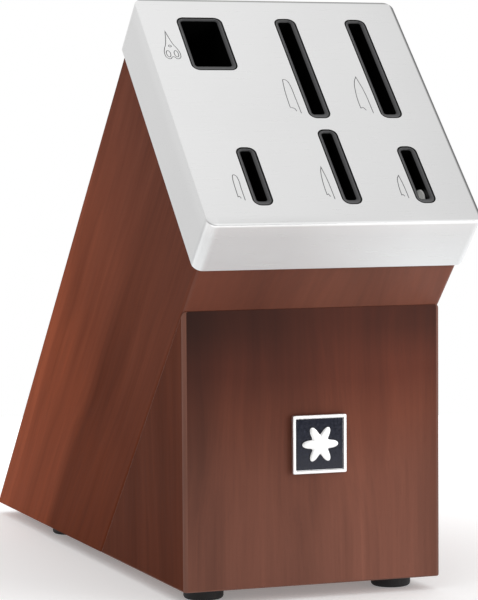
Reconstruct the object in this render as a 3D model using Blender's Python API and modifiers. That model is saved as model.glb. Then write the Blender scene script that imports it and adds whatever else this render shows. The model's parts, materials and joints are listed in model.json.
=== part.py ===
"""A slanted knife block with six lined slots and ceramic honing wheels.

Units are metres, +Z is up and -Y is the front. The origin is on the ground
under the middle of the block. The slanted body is built in a tilted frame:
its local Y runs up the cover plate and its local Z runs along the slots.
"""

from math import asin, cos, pi, radians, sin, sqrt

import bmesh
import bpy
from mathutils import Matrix

# Driving dimensions
TILT = radians(45)
BODY_WIDTH = 0.110
BODY_DEPTH = 0.1233
COVER_TOP = 0.2072
PANEL = 0.006
EDGE_RADIUS = 0.002
FOOT_HEIGHT = 0.0055
GAP = 0.0003

# Sheet cover
SHEET = 0.001
OVERHANG = 0.002
SKIRT = 0.0252
COVER_CORNER = 0.004
COVER_EDGE = 0.0015

# Wedge foot under the slanted front
WEDGE = 0.111
WEDGE_CORNER = 0.0020
WEDGE_EASING = 0.0005
DOWEL_RADIUS = 0.004
DOWEL_LENGTH = 0.018
DOWEL_X = 0.030
DOWEL_HEIGHT = 0.078

# Boards inside the body
BOTTOM_THICKNESS = 0.007
DECK_THICKNESS = 0.009
SPACER_THICKNESS = 0.006
SPACER_DEPTH = 0.100

# Slot liners
FLANGE = 0.0014
FLANGE_SIDE = 0.002
FLANGE_END = 0.0014
LINER_WALL = 0.0012
LINER_RECESS = 0.0002
TUBE_HALF_WIDTH = 0.0048
RIM = 0.0006
RIM_DEPTH = 0.0008
SIDE_RIM = 0.0017
LOWER_RIM = 0.0026
UPPER_RIM = 0.0012
THROAT_DEPTH = 0.0027
MOUTH_RADIUS = 0.003
TUBE_RADIUS = 0.0024

# Honing units
WHEEL_RADIUS = 0.005
WHEEL_BORE = 0.0013
WHEEL_HUB = 0.002
WHEEL_OFFSET = 0.00025
WHEEL_CONE = 0.00105
WHEEL_BACK = 0.0021
AXLE_RADIUS = 0.001
WHEEL_REACH = 0.0079
CHEEK_OUTER = 0.0033
CHEEK_INNER = 0.0024
CHEEK_RIM = 0.0008
CHEEK_CHAMFER = 0.001
CRADLE_ABOVE = 0.0025
CRADLE_BELOW = 0.0057
TAB_HALF_WIDTH = 0.0015

# Feet and screws
FOOT_RADIUS = 0.0081
FOOT_EDGE = 0.0015
COUNTERBORE_DEPTH = 0.0025
FOOT_X = 0.0408
FRONT_FOOT_SETBACK = 0.0181
BACK_FOOT_OFFSET = 0.0956
SCREW_RADIUS = 0.0016
SCREW_TIP = 0.0015
SCREW_LENGTH = 0.0105
HEAD_RADIUS = 0.0032
HEAD_TOP_RADIUS = 0.0022
HEAD_UNDERSIDE = 0.0022
HEAD_EDGE = 0.0012
HEAD_TOP = 0.0006
RECESS_LENGTH = 0.0032
RECESS_WIDTH = 0.0008
RECESS_DEPTH = 0.0014
PILOT_DEPTH = 0.0072
DECK_SCREW_V = (0.030, 0.096)
DECK_SCREW_LENGTH = 0.011
DECK_SCREW_TIP = 0.0012
DECK_SCREW_SHANK = 0.0014
DECK_SCREW_HEAD = 0.0028
DECK_SCREW_CONE = 0.0016

# Badge on the wedge's front face
BADGE_WIDTH = 0.0229
BADGE_HEIGHT = 0.0233
BADGE_X = 0.0015
BADGE_Z = 0.0566
BADGE_BORDER = 0.0012
BADGE_CORNER = 0.0006
BADGE_STANDOFF = 0.001
BADGE_THICKNESS = 0.0016
BADGE_FLOOR = 0.0006
BADGE_LAYER = 0.0004
PAD_INSET = 0.0015
ROSETTE_RADIUS = 0.0058
ROSETTE_WAVE = 0.32
ROSETTE_PETALS = 6

# Each slot: middle, width and both ends across the cover plate, the depth of
# its liner, and the depth of its honing wheels (None where there are none)
SLOTS = {
    "shears": (-0.0319, 0.0196, 0.0852, 0.1163, 0.120, None),
    "santoku": (0.0053, 0.0094, 0.0577, 0.1161, 0.190, 0.014),
    "chef": (0.0364, 0.0094, 0.0577, 0.1161, 0.215, 0.014),
    "serrated": (-0.0316, 0.0084, 0.0103, 0.0417, 0.140, None),
    "utility": (0.0053, 0.0084, 0.0103, 0.0514, 0.165, 0.014),
    "paring": (0.0364, 0.0084, 0.0103, 0.0417, 0.110, 0.0080),
}

# Derived positions
HALF_WIDTH = BODY_WIDTH / 2
SECANT = 1 / cos(TILT)
BODY_FRONT_Y = ((COVER_TOP + OVERHANG) * sin(TILT) - BODY_DEPTH * SECANT) / 2
WEDGE_FRONT_Y = BODY_FRONT_Y - WEDGE
UNDER_SHEET = COVER_TOP - SHEET
WOOD_TOP = UNDER_SHEET - GAP
FLANGE_TOP = UNDER_SHEET - GAP
DECK_TOP = FLANGE_TOP - FLANGE - GAP
LINER_TOP = COVER_TOP - LINER_RECESS
ROUND = 24


def clear_scene():
    for item in list(bpy.data.objects):
        bpy.data.objects.remove(item, do_unlink=True)


def new_collection(name):
    collection = bpy.data.collections.new(name)
    bpy.context.scene.collection.children.link(collection)
    return collection


def make_material(name, color, roughness, metallic=0.0):
    material = bpy.data.materials.new(name)
    material.use_nodes = True
    shader = material.node_tree.nodes["Principled BSDF"]
    shader.inputs["Base Color"].default_value = (*color, 1.0)
    shader.inputs["Roughness"].default_value = roughness
    shader.inputs["Metallic"].default_value = metallic
    return material


def place(name, mesh, parent=None, location=(0, 0, 0), rotation=(0, 0, 0), material=None):
    """Add a finished piece to the knife block's collection."""
    piece = bpy.data.objects.new(name, mesh)
    PARTS.objects.link(piece)
    piece.parent = parent
    piece.location = location
    piece.rotation_euler = rotation
    if material and not mesh.materials:
        mesh.materials.append(material)
    return piece


def place_cutter(name, mesh, parent=None, location=(0, 0, 0), rotation=(0, 0, 0)):
    cutter = bpy.data.objects.new(name, mesh)
    CUTTERS.objects.link(cutter)
    cutter.parent = parent
    cutter.location = location
    cutter.rotation_euler = rotation
    cutter.hide_render = True
    cutter.display_type = "WIRE"
    return cutter


def cut(piece, *cutters):
    for cutter in cutters:
        modifier = piece.modifiers.new("cut " + cutter.name, "BOOLEAN")
        modifier.operation = "DIFFERENCE"
        modifier.object = cutter


def fuse(piece, addition):
    modifier = piece.modifiers.new("join " + addition.name, "BOOLEAN")
    modifier.operation = "UNION"
    modifier.object = addition


def finish_mesh(work, name, smooth=False):
    mesh = bpy.data.meshes.new(name)
    bmesh.ops.recalc_face_normals(work, faces=work.faces)
    work.to_mesh(mesh)
    work.free()
    if smooth:
        mesh.shade_smooth()
        mesh.set_sharp_from_angle(angle=radians(35))
    return mesh


def box_mesh(name, size, middle=(0, 0, 0)):
    work = bmesh.new()
    bmesh.ops.create_cube(work, size=1.0, matrix=Matrix.Translation(middle) @ Matrix.Diagonal((*size, 1)))
    return finish_mesh(work, name)


def cylinder_mesh(name, radius, length, segments=ROUND):
    """A cylinder along local Z, centred on the origin."""
    work = bmesh.new()
    bmesh.ops.create_cone(
        work, cap_ends=True, segments=segments, radius1=radius, radius2=radius, depth=length
    )
    return finish_mesh(work, name, smooth=True)


def prism_mesh(name, points, thickness, smooth=False):
    """A flat outline in local XY, thickened evenly along local Z."""
    curve = bpy.data.curves.new(name, "CURVE")
    curve.dimensions = "2D"
    curve.fill_mode = "BOTH"
    curve.extrude = thickness / 2
    spline = curve.splines.new("POLY")
    spline.points.add(len(points) - 1)
    for point, (x, y) in zip(spline.points, points):
        point.co = (x, y, 0, 1)
    spline.use_cyclic_u = True
    guide = bpy.data.objects.new(name, curve)
    CUTTERS.objects.link(guide)
    mesh = bpy.data.meshes.new_from_object(guide.evaluated_get(bpy.context.evaluated_depsgraph_get()))
    bpy.data.objects.remove(guide, do_unlink=True)
    work = bmesh.new()
    work.from_mesh(mesh)
    bmesh.ops.remove_doubles(work, verts=work.verts, dist=1e-6)
    return finish_mesh(work, name, smooth)


def turned_mesh(name, profile, segments=ROUND):
    """A closed profile of (radius, height) points, turned around local Z."""
    work = bmesh.new()
    ring = [work.verts.new((radius, 0, height)) for radius, height in profile]
    for first, second in zip(ring, ring[1:] + ring[:1]):
        if first.co.x > 0 or second.co.x > 0:
            work.edges.new((first, second))
    outline = bpy.data.meshes.new(name)
    work.to_mesh(outline)
    work.free()
    guide = bpy.data.objects.new(name, outline)
    CUTTERS.objects.link(guide)
    screw = guide.modifiers.new("turn", "SCREW")
    screw.steps = segments
    screw.render_steps = segments
    screw.use_merge_vertices = True
    screw.merge_threshold = 0.00001
    screw.use_normal_calculate = True
    mesh = bpy.data.meshes.new_from_object(guide.evaluated_get(bpy.context.evaluated_depsgraph_get()))
    bpy.data.objects.remove(guide, do_unlink=True)
    work = bmesh.new()
    work.from_mesh(mesh)
    bmesh.ops.remove_doubles(work, verts=work.verts, dist=1e-6)
    return finish_mesh(work, name, smooth=True)


def bake(piece):
    """Swap a piece's modifiers for the mesh that they give, so copies can share it."""
    mesh = bpy.data.meshes.new_from_object(piece.evaluated_get(bpy.context.evaluated_depsgraph_get()))
    mesh.name = piece.name
    piece.modifiers.clear()
    piece.data = mesh
    return mesh


def arc(middle, radius, start, end, steps):
    """Points of a circular arc; angles are in degrees."""
    angles = [radians(start + (end - start) * step / steps) for step in range(steps + 1)]
    return [(middle[0] + radius * cos(angle), middle[1] + radius * sin(angle)) for angle in angles]


def rounded_rectangle(half_x, half_y, radius, steps=3):
    points = []
    for quarter, (side_x, side_y) in enumerate(((1, 1), (-1, 1), (-1, -1), (1, -1))):
        middle = (side_x * (half_x - radius), side_y * (half_y - radius))
        points += arc(middle, radius, 90 * quarter, 90 * quarter + 90, steps)
    return points


def ring_shell(name, sections):
    """A ring-shaped wall lofted through rounded rectangles, the last one joined to the first.

    Each section is (half width, half length, corner radius, height, shift along Y).
    """
    work = bmesh.new()
    loops = []
    for half_x, half_y, radius, height, shift in sections:
        outline = rounded_rectangle(half_x, half_y, radius)
        loops.append([work.verts.new((x, y + shift, height)) for x, y in outline])
    count = len(loops[0])
    for lower, upper in zip(loops, loops[1:] + loops[:1]):
        for step in range(count):
            after = (step + 1) % count
            work.faces.new((lower[step], lower[after], upper[after], upper[step]))
    return finish_mesh(work, name, smooth=True)


def weigh_edges(mesh, weight_of):
    """Give each edge the bevel weight that weight_of(first corner, second corner) returns."""
    weights = mesh.attributes.new("bevel_weight_edge", "FLOAT", "EDGE")
    for edge in mesh.edges:
        first, second = (mesh.vertices[index].co for index in edge.vertices)
        weights.data[edge.index].value = weight_of(first, second)


def bevel(piece, width, segments, limit):
    modifier = piece.modifiers.new("bevel", "BEVEL")
    modifier.width = width
    modifier.segments = segments
    modifier.limit_method = limit
    modifier.use_clamp_overlap = False
    return modifier


# Wooden body

def mitred_outline(length):
    """A panel seen from its end: outer face at 0, inner face at PANEL, both ends mitred."""
    shift = GAP / sqrt(2)
    lean = asin(shift / (EDGE_RADIUS * sqrt(2)))
    start = 225 + lean * 180 / pi
    half = [(PANEL + shift, PANEL)] + arc((EDGE_RADIUS, EDGE_RADIUS), EDGE_RADIUS, start, 270, 3)
    return half + [(length - along, across) for along, across in reversed(half)]


def body_panel(name, outline, cutters):
    """A wall of the slanted body, cut level at the base."""
    low = -BODY_DEPTH - PANEL
    mesh = prism_mesh(name, outline, WOOD_TOP - low)
    panel = place(name, mesh, TILTED, (0, 0, (WOOD_TOP + low) / 2), material=WOOD)
    cut(panel, *cutters)
    return panel


def make_body(cutters, side_cutters, front_cutters):
    side = mitred_outline(BODY_DEPTH)
    across = mitred_outline(BODY_WIDTH)
    for name, sign in (("left_side_panel", -1), ("right_side_panel", 1)):
        outline = [(sign * (HALF_WIDTH - deep), along) for along, deep in side]
        body_panel(name, outline, cutters + side_cutters)
    front = [(along - HALF_WIDTH, deep) for along, deep in across]
    back = [(along - HALF_WIDTH, BODY_DEPTH - deep) for along, deep in across]
    body_panel("front_panel", front, cutters + front_cutters)
    body_panel("back_panel", back, cutters)


def ground_cutter():
    size = 4 * BODY_DEPTH
    mesh = box_mesh("ground", (size, size, size), (0, 0, -size / 2))
    return place_cutter("below_base", mesh, location=(0, 0, FOOT_HEIGHT))


def make_bottom_panel(hole_cutters):
    """The level bottom board; its front and back edges follow the slanted panels."""
    front = (PANEL + GAP) * SECANT
    back = (BODY_DEPTH - PANEL - GAP) * SECANT
    outline = [
        (front, 0),
        (back, 0),
        (back - BOTTOM_THICKNESS, BOTTOM_THICKNESS),
        (front - BOTTOM_THICKNESS, BOTTOM_THICKNESS),
    ]
    mesh = prism_mesh("bottom_panel", outline, BODY_WIDTH - 2 * (PANEL + GAP))
    where = (0, BODY_FRONT_Y, FOOT_HEIGHT)
    board = place("bottom_panel", mesh, None, where, (pi / 2, 0, pi / 2), WOOD)
    cut(board, *hole_cutters)


def make_inner_board(name, top, thickness, cutters):
    """A slotted board between the four walls, square to the slots."""
    edge = PANEL + GAP
    size = (BODY_WIDTH - 2 * edge, BODY_DEPTH - 2 * edge, thickness)
    mesh = box_mesh(name, size, (0, BODY_DEPTH / 2, top - thickness / 2))
    board = place(name, mesh, TILTED, material=WOOD)
    cut(board, *cutters)


def make_wedge(cutters):
    """The solid triangular foot under the overhanging front."""
    reach = WEDGE - GAP * SECANT
    mesh = prism_mesh("foot_wedge", [(0, 0), (reach, 0), (0, reach)], BODY_WIDTH)

    def easing(first, second):
        if abs(first.z - second.z) > GAP:
            return 0.0
        if max(first.x, second.x) < GAP:
            return 1.0
        return WEDGE_EASING / WEDGE_CORNER if first.y + second.y > GAP else 0.0

    weigh_edges(mesh, easing)
    where = (0, WEDGE_FRONT_Y, FOOT_HEIGHT)
    wedge = place("foot_wedge", mesh, None, where, (pi / 2, 0, pi / 2), WOOD)
    bevel(wedge, WEDGE_CORNER, 4, "WEIGHT")
    cut(wedge, *cutters)


# Sheet cover

def make_cover(aperture_cutters):
    """A drawn cap: rounded corners, rounded top edge, open below, six apertures."""
    size = (BODY_WIDTH + 2 * OVERHANG, BODY_DEPTH + 2 * OVERHANG, SKIRT)
    work = bmesh.new()
    bmesh.ops.create_cube(work, size=1.0, matrix=Matrix.Diagonal((*size, 1)))
    bottom = [face for face in work.faces if face.normal.z < -0.5]
    bmesh.ops.delete(work, geom=bottom, context="FACES_ONLY")
    mesh = bpy.data.meshes.new("steel_cover")
    work.to_mesh(mesh)
    work.free()
    weigh_edges(mesh, lambda first, second: float(abs(first.z - second.z) > GAP))
    where = (0, BODY_DEPTH / 2, COVER_TOP - SKIRT / 2)
    cover = place("steel_cover", mesh, TILTED, where, material=STEEL)
    bevel(cover, COVER_CORNER, 6, "WEIGHT")
    bevel(cover, COVER_EDGE, 3, "ANGLE")
    shell = cover.modifiers.new("sheet", "SOLIDIFY")
    shell.thickness = SHEET
    shell.offset = -1
    cut(cover, *aperture_cutters)


# Slots and liners

def slot_middle(slot):
    """Where a slot's middle lies in the tilted frame, and half its aperture's size."""
    x, width, low, high = slot[:4]
    return x, (low + high) / 2 - OVERHANG, width / 2, (high - low) / 2


def slot_cutters(name, slot):
    """Cutters for a slot's aperture in the sheet and its opening in the inner boards."""
    x, v, half_x, half_v = slot_middle(slot)
    aperture = prism_mesh(name, rounded_rectangle(half_x, half_v, MOUTH_RADIUS + GAP), 4 * SHEET)
    tube_x = max(half_x - GAP, TUBE_HALF_WIDTH) + GAP
    opening = prism_mesh(name, rounded_rectangle(tube_x, half_v, TUBE_RADIUS + GAP), 4 * DECK_THICKNESS)
    spacer_middle = COVER_TOP - SPACER_DEPTH
    return (
        place_cutter(name + "_aperture", aperture, TILTED, (x, v, COVER_TOP)),
        place_cutter(name + "_deck_opening", opening, TILTED, (x, v, DECK_TOP)),
        place_cutter(name + "_spacer_opening", opening, TILTED, (x, v, spacer_middle)),
    )


def make_liner(name, slot):
    """A plastic sleeve: collar in the aperture, flange under the sheet, sloping rim, throat and tube.

    The rim is widest at the lower end, where a blade's edge rests as it goes in.
    """
    depth, wheel_depth = slot[4:]
    x, v, half_x, half_v = slot_middle(slot)
    collar_x, collar_v = half_x - GAP, half_v - GAP
    tube_x = max(collar_x, TUBE_HALF_WIDTH)
    bore_x, bore_v = tube_x - LINER_WALL, collar_v - LINER_WALL
    throat_x = collar_x - SIDE_RIM
    throat_v = collar_v - (LOWER_RIM + UPPER_RIM) / 2
    shift = (LOWER_RIM - UPPER_RIM) / 2
    flange_x, flange_v = tube_x + FLANGE_SIDE / 2, collar_v + FLANGE_END
    inner = TUBE_RADIUS - LINER_WALL
    flare = -THROAT_DEPTH - max(bore_x - throat_x, LOWER_RIM - LINER_WALL)
    top, bottom = FLANGE_TOP - LINER_TOP, FLANGE_TOP - FLANGE - LINER_TOP
    sections = [
        (collar_x, collar_v, MOUTH_RADIUS, 0, 0),
        (collar_x, collar_v, MOUTH_RADIUS, top, 0),
        (flange_x, flange_v, MOUTH_RADIUS, top, 0),
        (flange_x, flange_v, MOUTH_RADIUS, bottom, 0),
        (tube_x, collar_v, TUBE_RADIUS, bottom, 0),
        (tube_x, collar_v, TUBE_RADIUS, -depth, 0),
        (bore_x, bore_v, inner, -depth, 0),
        (bore_x, bore_v, inner, flare, 0),
        (throat_x, throat_v, inner, -THROAT_DEPTH, shift),
        (throat_x, throat_v, inner, -RIM_DEPTH, shift),
        (collar_x - RIM, collar_v - RIM, MOUTH_RADIUS - RIM, 0, 0),
    ]
    liner = place("liner_" + name, ring_shell(name, sections), TILTED, (x, v, LINER_TOP), material=PLASTIC)
    if wheel_depth is not None:
        cut(liner, cradle_window(name, x, v - collar_v, LINER_TOP - wheel_depth))


def cradle_window(name, x, end, axle):
    """The window in a liner's end wall that holds a cradle's tab."""
    height = CRADLE_ABOVE + CRADLE_BELOW + 2 * GAP
    size = (2 * (TAB_HALF_WIDTH + GAP), 2 * (LINER_WALL + GAP), height)
    mesh = box_mesh(name, size, (0, 0, (CRADLE_ABOVE - CRADLE_BELOW) / 2))
    return place_cutter(name + "_cradle_window", mesh, TILTED, (x, end, axle))


# Honing units

def cradle_mesh():
    """A U-shaped carrier seen along the slot, with a tab behind and a bore for the axle."""
    back = LINER_WALL + GAP
    web = WHEEL_REACH - WHEEL_RADIUS - GAP
    front = WHEEL_REACH + WHEEL_BORE + CHEEK_RIM
    half = [
        (CHEEK_OUTER - CHEEK_CHAMFER, back),
        (CHEEK_OUTER, back + CHEEK_CHAMFER),
        (CHEEK_OUTER, front),
        (CHEEK_INNER, front),
        (CHEEK_INNER, web),
    ]
    outline = [(x, v - WHEEL_REACH) for x, v in half]
    outline += [(-x, v) for x, v in reversed(outline)]
    height = CRADLE_ABOVE + CRADLE_BELOW
    middle = (CRADLE_ABOVE - CRADLE_BELOW) / 2
    mesh = prism_mesh("honing_cradle", outline, height)
    mesh.transform(Matrix.Translation((0, 0, middle)))
    sample = place("honing_cradle", mesh)
    tab_size = (2 * TAB_HALF_WIDTH, LINER_WALL + GAP, height)
    tab_middle = (0, GAP + tab_size[1] / 2 - WHEEL_REACH, middle)
    fuse(sample, place_cutter("cradle_tab", box_mesh("cradle_tab", tab_size, tab_middle)))
    bore = place_cutter(
        "axle_bore", cylinder_mesh("axle_bore", WHEEL_BORE, 3 * CHEEK_OUTER, 16), rotation=(0, pi / 2, 0)
    )
    cut(sample, bore)
    baked = bake(sample)
    baked.materials.append(PLASTIC)
    bpy.data.objects.remove(sample, do_unlink=True)
    return baked


def wheel_mesh():
    """A ceramic wheel with a sloping honing face towards the slot's middle plane."""
    profile = [
        (WHEEL_BORE, WHEEL_BACK),
        (WHEEL_RADIUS, WHEEL_BACK),
        (WHEEL_RADIUS, WHEEL_OFFSET + WHEEL_CONE),
        (WHEEL_HUB, WHEEL_OFFSET),
        (WHEEL_BORE, WHEEL_OFFSET),
    ]
    mesh = turned_mesh("honing_wheel", profile, ROUND)
    mesh.materials.append(CERAMIC)
    return mesh


def make_honing_units():
    cradle = cradle_mesh()
    wheel = wheel_mesh()
    axle = cylinder_mesh("honing_axle", AXLE_RADIUS, 2 * CHEEK_OUTER - GAP, 16)
    axle.materials.append(STEEL)
    for name, slot in SLOTS.items():
        wheel_depth = slot[5]
        if wheel_depth is None:
            continue
        x, v, _, half_v = slot_middle(slot)
        centre = (x, v - half_v + GAP + WHEEL_REACH, LINER_TOP - wheel_depth)
        place("honing_cradle_" + name, cradle, TILTED, centre)
        place("honing_axle_" + name, axle, TILTED, centre, (0, pi / 2, 0))
        place("honing_wheel_left_" + name, wheel, TILTED, centre, (0, -pi / 2, 0))
        place("honing_wheel_right_" + name, wheel, TILTED, centre, (0, pi / 2, 0))


# Feet and screws

def foot_places():
    front = WEDGE_FRONT_Y + FRONT_FOOT_SETBACK
    back = BODY_FRONT_Y + BACK_FOOT_OFFSET
    for row, y in (("front", front), ("back", back)):
        for side, x in (("left", -FOOT_X), ("right", FOOT_X)):
            yield row + "_" + side, (x, y, 0)


def foot_mesh():
    """A rubber disc with a rounded lower edge and a counterbored screw hole."""
    top = FOOT_HEIGHT - GAP
    hole = SCREW_RADIUS + GAP
    counterbore = HEAD_RADIUS + GAP
    lower_edge = arc((FOOT_RADIUS - FOOT_EDGE, FOOT_EDGE), FOOT_EDGE, 0, -90, 3)
    profile = [(hole, top), (FOOT_RADIUS, top)] + lower_edge
    profile += [(counterbore, 0), (counterbore, COUNTERBORE_DEPTH), (hole, COUNTERBORE_DEPTH)]
    mesh = turned_mesh("rubber_foot", profile, ROUND)
    mesh.materials.append(RUBBER)
    return mesh


def screw_mesh():
    """A pan-head screw standing point up, with a cross recess in its head."""
    profile = [
        (0, SCREW_LENGTH + SCREW_TIP),
        (SCREW_RADIUS, SCREW_LENGTH),
        (SCREW_RADIUS, HEAD_UNDERSIDE),
        (HEAD_RADIUS, HEAD_UNDERSIDE),
        (HEAD_RADIUS, HEAD_EDGE),
        (HEAD_TOP_RADIUS, HEAD_TOP),
        (0, HEAD_TOP),
    ]
    sample = place("foot_screw", turned_mesh("foot_screw", profile, 20))
    for turn in (0, pi / 2):
        bar = box_mesh("cross_recess", (RECESS_LENGTH, RECESS_WIDTH, 2 * RECESS_DEPTH))
        cut(sample, place_cutter("cross_recess", bar, rotation=(0, 0, turn)))
    baked = bake(sample)
    baked.materials.append(STEEL)
    bpy.data.objects.remove(sample, do_unlink=True)
    return baked


def pilot_cutters(row):
    """Pilot holes up into the wood above one row of feet."""
    mesh = cylinder_mesh("pilot", SCREW_RADIUS + GAP, 2 * PILOT_DEPTH, 20)
    holes = []
    for name, (x, y, _) in foot_places():
        if name.startswith(row):
            holes.append(place_cutter("pilot_" + name, mesh, location=(x, y, FOOT_HEIGHT)))
    return holes


def make_feet():
    foot = foot_mesh()
    screw = screw_mesh()
    for name, where in foot_places():
        place("foot_" + name, foot, location=where)
        place("foot_screw_" + name, screw, location=where)


def deck_screw_places():
    for side, sign in (("left", -1), ("right", 1)):
        for row, v in zip(("lower", "upper"), DECK_SCREW_V):
            where = (sign * HALF_WIDTH, v, DECK_TOP - DECK_THICKNESS / 2)
            yield side + "_" + row, where, (0, -sign * pi / 2, 0)


def countersunk_profile(clearance):
    """A screw's outline, point up from a flush countersunk head, or its hole with clearance."""
    shank, head = DECK_SCREW_SHANK + clearance, DECK_SCREW_HEAD + clearance
    start, end = (-PANEL, DECK_SCREW_LENGTH + GAP) if clearance else (GAP, DECK_SCREW_LENGTH)
    return [
        (0, end),
        (shank, end - DECK_SCREW_TIP),
        (shank, GAP + DECK_SCREW_CONE),
        (head, GAP),
        (head, start),
        (0, start),
    ]


def make_deck_screws():
    """Screws through the side panels into the deck board; returns their hole cutters."""
    solid = countersunk_profile(0)
    del solid[4]
    screw = turned_mesh("deck_screw", solid, 16)
    screw.materials.append(STEEL)
    hole = turned_mesh("deck_screw_hole", countersunk_profile(GAP), 16)
    cutters = []
    for name, where, rotation in deck_screw_places():
        place("deck_screw_" + name, screw, TILTED, where, rotation)
        cutters.append(place_cutter("deck_screw_hole_" + name, hole, TILTED, where, rotation))
    return cutters


def make_dowels():
    """Dowels that pin the wedge to the front panel; returns their hole cutters."""
    dowel = cylinder_mesh("wedge_dowel", DOWEL_RADIUS, DOWEL_LENGTH)
    dowel.materials.append(BEECH)
    hole = cylinder_mesh("dowel_hole", DOWEL_RADIUS + GAP, DOWEL_LENGTH + 2 * GAP)
    cutters = []
    for side, sign in (("left", -1), ("right", 1)):
        where = (sign * DOWEL_X, PANEL - DOWEL_LENGTH / 2, DOWEL_HEIGHT)
        place("wedge_dowel_" + side, dowel, TILTED, where, (pi / 2, 0, 0))
        cutters.append(place_cutter("dowel_hole_" + side, hole, TILTED, where, (pi / 2, 0, 0)))
    return cutters


# Badge

def badge_layer(name, outline, thickness, standoff, material):
    """A flat layer of the badge; standoff is from the wedge's face to the layer's back."""
    middle_z = FOOT_HEIGHT + BADGE_Z
    where = (BADGE_X, WEDGE_FRONT_Y - standoff - thickness / 2, middle_z)
    return place(name, prism_mesh(name, outline, thickness), None, where, (pi / 2, 0, 0), material)


def make_badge():
    """A raised frame on a pad, with a dark inlay and a raised flower inside the frame."""
    half_x, half_z = BADGE_WIDTH / 2, BADGE_HEIGHT / 2
    pad = rounded_rectangle(half_x - PAD_INSET, half_z - PAD_INSET, BADGE_CORNER, 2)
    badge_layer("badge_adhesive_pad", pad, BADGE_LAYER, GAP, PLASTIC)
    outline = rounded_rectangle(half_x, half_z, BADGE_CORNER, 4)
    tray = badge_layer("badge_frame", outline, BADGE_THICKNESS, BADGE_STANDOFF, STEEL)
    inner_x, inner_z = half_x - BADGE_BORDER, half_z - BADGE_BORDER
    depth = 2 * (BADGE_THICKNESS - BADGE_FLOOR)
    recess = prism_mesh("badge_recess", rounded_rectangle(inner_x, inner_z, BADGE_CORNER / 2, 2), depth)
    front = WEDGE_FRONT_Y - BADGE_STANDOFF - BADGE_THICKNESS
    middle = (BADGE_X, front, FOOT_HEIGHT + BADGE_Z)
    cut(tray, place_cutter("badge_recess", recess, None, middle, (pi / 2, 0, 0)))
    floor = BADGE_STANDOFF + BADGE_FLOOR
    enamel = rounded_rectangle(inner_x - GAP, inner_z - GAP, BADGE_CORNER / 2, 2)
    badge_layer("badge_inlay", enamel, BADGE_LAYER, floor + GAP, ENAMEL)
    petals = []
    for step in range(3 * ROUND):
        angle = 2 * pi * step / (3 * ROUND)
        radius = ROSETTE_RADIUS * (1 + ROSETTE_WAVE * cos(ROSETTE_PETALS * angle))
        petals.append((radius * cos(angle), radius * sin(angle)))
    badge_layer("badge_rosette", petals, BADGE_LAYER, floor + BADGE_LAYER + 2 * GAP, STEEL)


clear_scene()
PARTS = new_collection("knife_block")
CUTTERS = new_collection("cutters")

WOOD = make_material("stained_wood", (0.14, 0.045, 0.026), 0.45)
BEECH = make_material("plain_beech", (0.55, 0.36, 0.20), 0.6)
STEEL = make_material("brushed_steel", (0.74, 0.74, 0.73), 0.3, 1.0)
PLASTIC = make_material("black_plastic", (0.02, 0.02, 0.022), 0.45)
RUBBER = make_material("black_rubber", (0.02, 0.02, 0.02), 0.8)
CERAMIC = make_material("white_ceramic", (0.86, 0.86, 0.84), 0.4)
ENAMEL = make_material("dark_enamel", (0.01, 0.012, 0.03), 0.2)

TILTED = bpy.data.objects.new("tilted_frame", None)
PARTS.objects.link(TILTED)
TILTED.location = (0, BODY_FRONT_Y, FOOT_HEIGHT)
TILTED.rotation_euler = (TILT, 0, 0)

apertures, deck_openings, spacer_openings = zip(*(slot_cutters(*item) for item in SLOTS.items()))
screw_holes = make_deck_screws()
dowel_holes = make_dowels()
make_body([ground_cutter()], screw_holes, dowel_holes)
make_bottom_panel(pilot_cutters("back"))
make_inner_board("deck_board", DECK_TOP, DECK_THICKNESS, list(deck_openings) + screw_holes)
spacer_top = COVER_TOP - SPACER_DEPTH + SPACER_THICKNESS / 2
make_inner_board("spacer_board", spacer_top, SPACER_THICKNESS, spacer_openings)
make_wedge(pilot_cutters("front") + dowel_holes)
make_cover(apertures)
for slot_name, slot_sizes in SLOTS.items():
    make_liner(slot_name, slot_sizes)
make_honing_units()
make_feet()
make_badge()
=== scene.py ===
"""The looks of a slanted knife block with six lined slots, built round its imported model.

Units are metres in the model's own frame: +Z is up and -Y is the front. The
slanted body has a tilted frame of its own: X runs across the block, Y up the
cover plate and Z out along the slots.
"""

import json
from math import asin, cos, degrees, pi, radians, sin, sqrt, tan

import bmesh
import bpy
from mathutils import Matrix, Vector


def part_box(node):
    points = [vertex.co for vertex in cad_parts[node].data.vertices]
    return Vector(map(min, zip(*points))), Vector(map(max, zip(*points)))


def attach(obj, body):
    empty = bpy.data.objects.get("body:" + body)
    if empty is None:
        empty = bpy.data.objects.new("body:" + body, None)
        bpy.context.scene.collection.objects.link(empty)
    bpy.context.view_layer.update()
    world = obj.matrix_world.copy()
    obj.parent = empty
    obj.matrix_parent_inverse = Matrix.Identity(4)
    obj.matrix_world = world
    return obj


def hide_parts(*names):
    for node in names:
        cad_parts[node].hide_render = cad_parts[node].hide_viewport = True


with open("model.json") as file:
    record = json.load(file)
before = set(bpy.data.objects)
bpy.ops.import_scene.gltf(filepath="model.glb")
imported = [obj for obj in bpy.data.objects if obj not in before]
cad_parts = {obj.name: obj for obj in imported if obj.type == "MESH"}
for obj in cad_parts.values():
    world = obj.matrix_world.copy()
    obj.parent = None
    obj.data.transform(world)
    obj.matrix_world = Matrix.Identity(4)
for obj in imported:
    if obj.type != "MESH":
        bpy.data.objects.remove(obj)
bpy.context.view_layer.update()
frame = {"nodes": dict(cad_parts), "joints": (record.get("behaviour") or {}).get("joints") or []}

# The tilted frame and the body
TILT = radians(45)
CLEARANCE = 0.0003
SEAM = 0.00002
PANEL = 0.006
BODY_CORNER = 0.002
BASE_EASING = 0.0006
WEDGE_CORNER = 0.0020
WEDGE_EASING = 0.0005
FLAT_BEYOND = 0.97  # a face whose normal leans less than this along an axis is an edge's
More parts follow.
